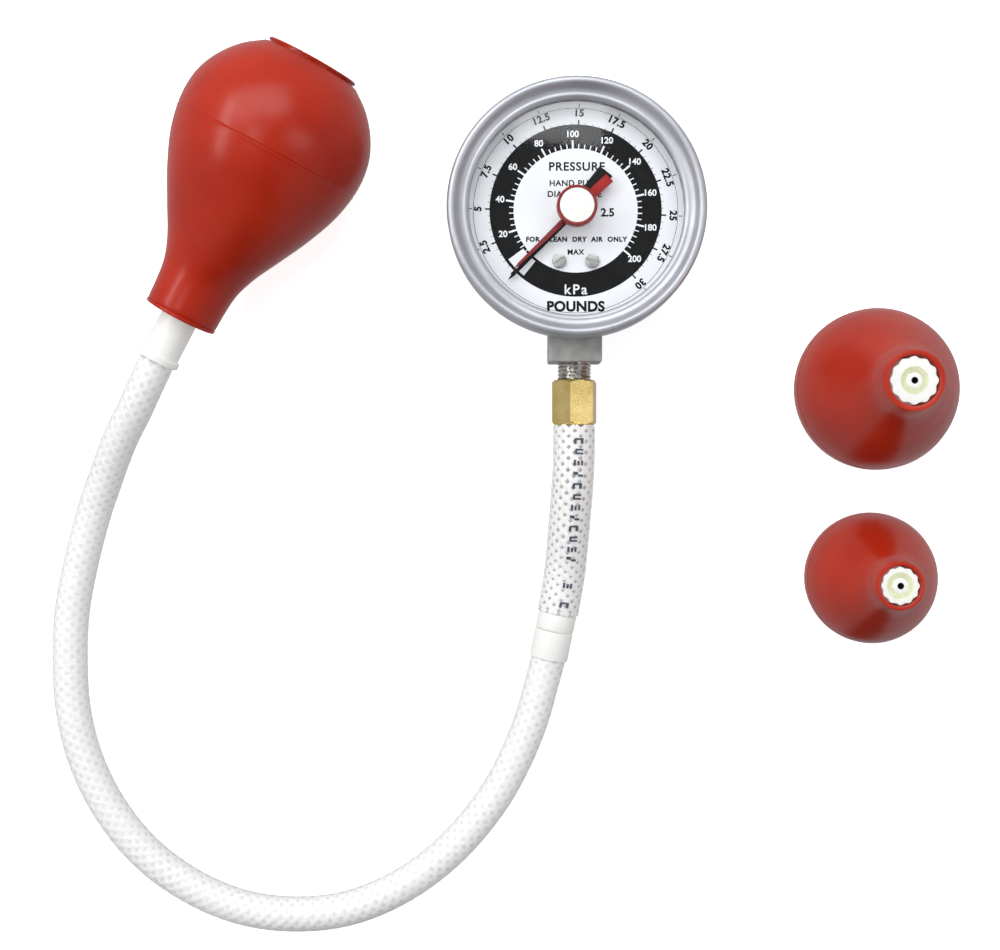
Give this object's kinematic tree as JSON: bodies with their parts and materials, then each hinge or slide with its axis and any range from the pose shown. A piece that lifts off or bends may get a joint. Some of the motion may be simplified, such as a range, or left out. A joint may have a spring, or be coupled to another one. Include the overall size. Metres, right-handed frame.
{
  "type": "hand squeeze bulb pump with pressure gauge",
  "caption": "Rubber squeeze bulb joined by a braided clear hose and in-line coupling to a round dial pressure gauge with a max-hold pointer, with spare bulbs in smaller sizes.",
  "frame": {"origin": "centre of the gauge case's back face, which lies on the surface", "axes": "+Z out of the dial, -Y along the gauge's stem towards the hose, +X to the right as the dial is read"},
  "size_m": [0.2445, 0.2398, 0.0632],
  "materials": {
    "case_metal": "satin grey metal case",
    "bezel_metal": "satin bright metal ring, brushed round its axis",
    "clear_window": "clear polycarbonate window",
    "gasket_rubber": "grey rubber gasket",
    "dial_paint": "white enamel with a printed scale",
    "screw_steel": "zinc plated steel",
    "stem_metal": "matte grey plated brass bar",
    "brass": "machined brass",
    "spring_bronze": "phosphor bronze",
    "pointer_black": "matte black paint",
    "pointer_red": "satin red paint",
    "white_plastic": "white moulded plastic",
    "seal_rubber": "black nitrile rubber",
    "clear_hose": "clear flexible hose with a white braid inside its wall",
    "red_rubber": "brick red rubber with a satin skin"
  },
  "bodies": {
    "gauge": {"gauge_case": "case_metal", "bezel_ring": "bezel_metal", "crystal_gasket": "gasket_rubber", "crystal_window": "clear_window", "dial_plate": "dial_paint", "dial_screw_left": "screw_steel", "dial_screw_right": "screw_steel", "case_screw_left": "screw_steel", "case_screw_right": "screw_steel", "stem_socket": "stem_metal", "brass_hose_fitting": "brass", "bourdon_tube": "spring_bronze", "movement_back_plate": "brass", "movement_front_plate": "brass", "pillar_upper": "brass", "pillar_lower": "brass", "movement_screw_left": "screw_steel", "movement_screw_right": "screw_steel", "hairspring": "spring_bronze", "hairspring_stud": "brass", "short_hose": "clear_hose", "coupling_socket": "white_plastic", "coupling_o_ring": "seal_rubber", "coupling_plug": "white_plastic", "long_hose": "clear_hose", "hose_end_fitting": "white_plastic"},
    "pointer": {"pinion_gear": "brass", "pointer_hub": "brass", "pointer_black": "pointer_black"},
    "sector": {"sector_gear": "brass", "sector_arbor": "screw_steel"},
    "link": {"link_rod": "screw_steel", "bourdon_tip": "brass"},
    "max_pointer": {"max_pointer_red": "pointer_red", "knob_shaft": "screw_steel", "reset_knob": "pointer_red", "knob_cap": "white_plastic"},
    "bulb": {"bulb_large": "red_rubber", "bulb_large_insert": "white_plastic"},
    "spare_medium": {"bulb_medium": "red_rubber", "bulb_medium_insert": "white_plastic"},
    "spare_small": {"bulb_small": "red_rubber", "bulb_small_insert": "white_plastic"}
  },
  "joints": [
    {"name": "pointer_turn", "type": "hinge", "parent": "gauge", "child": "pointer", "pos_m": [0, 0, 0.0226], "axis": [0, 0, -1], "range_deg": [0, 273], "deforming": ["bourdon_tube", "hairspring"]},
    {"name": "sector_turn", "type": "hinge", "parent": "gauge", "child": "sector", "pos_m": [0.01078, -0.01249, 0.0155], "axis": [0, 0, 1], "range_deg": [0, 27.31]},
    {"name": "link_travel", "type": "slide", "parent": "gauge", "child": "link", "axis": [0.4226, 0.9063, 0], "range_m": [0, 0.00374], "deforming": ["bourdon_tube"]},
    {"name": "max_pointer_turn", "type": "hinge", "parent": "gauge", "child": "max_pointer", "pos_m": [0, 0, 0.0242], "axis": [0, 0, -1], "range_deg": [0, 273]},
    {"name": "bulb_pull", "type": "slide", "parent": "gauge", "child": "bulb", "axis": [0.4744, 0.8759, 0.0875], "range_m": [0, 0.02]},
    {"name": "spare_medium_lift", "type": "slide", "parent": "gauge", "child": "spare_medium", "axis": [0, 0, 1], "range_m": [0, 0.075]},
    {"name": "spare_small_lift", "type": "slide", "parent": "gauge", "child": "spare_small", "axis": [0, 0, 1], "range_m": [0, 0.06]}
  ],
  "couplings": [
    {"joint": "sector_turn", "follows": "link_travel", "rad_per_m": 127.57},
    {"joint": "pointer_turn", "follows": "link_travel", "rad_per_m": 1275.7}
  ]
}
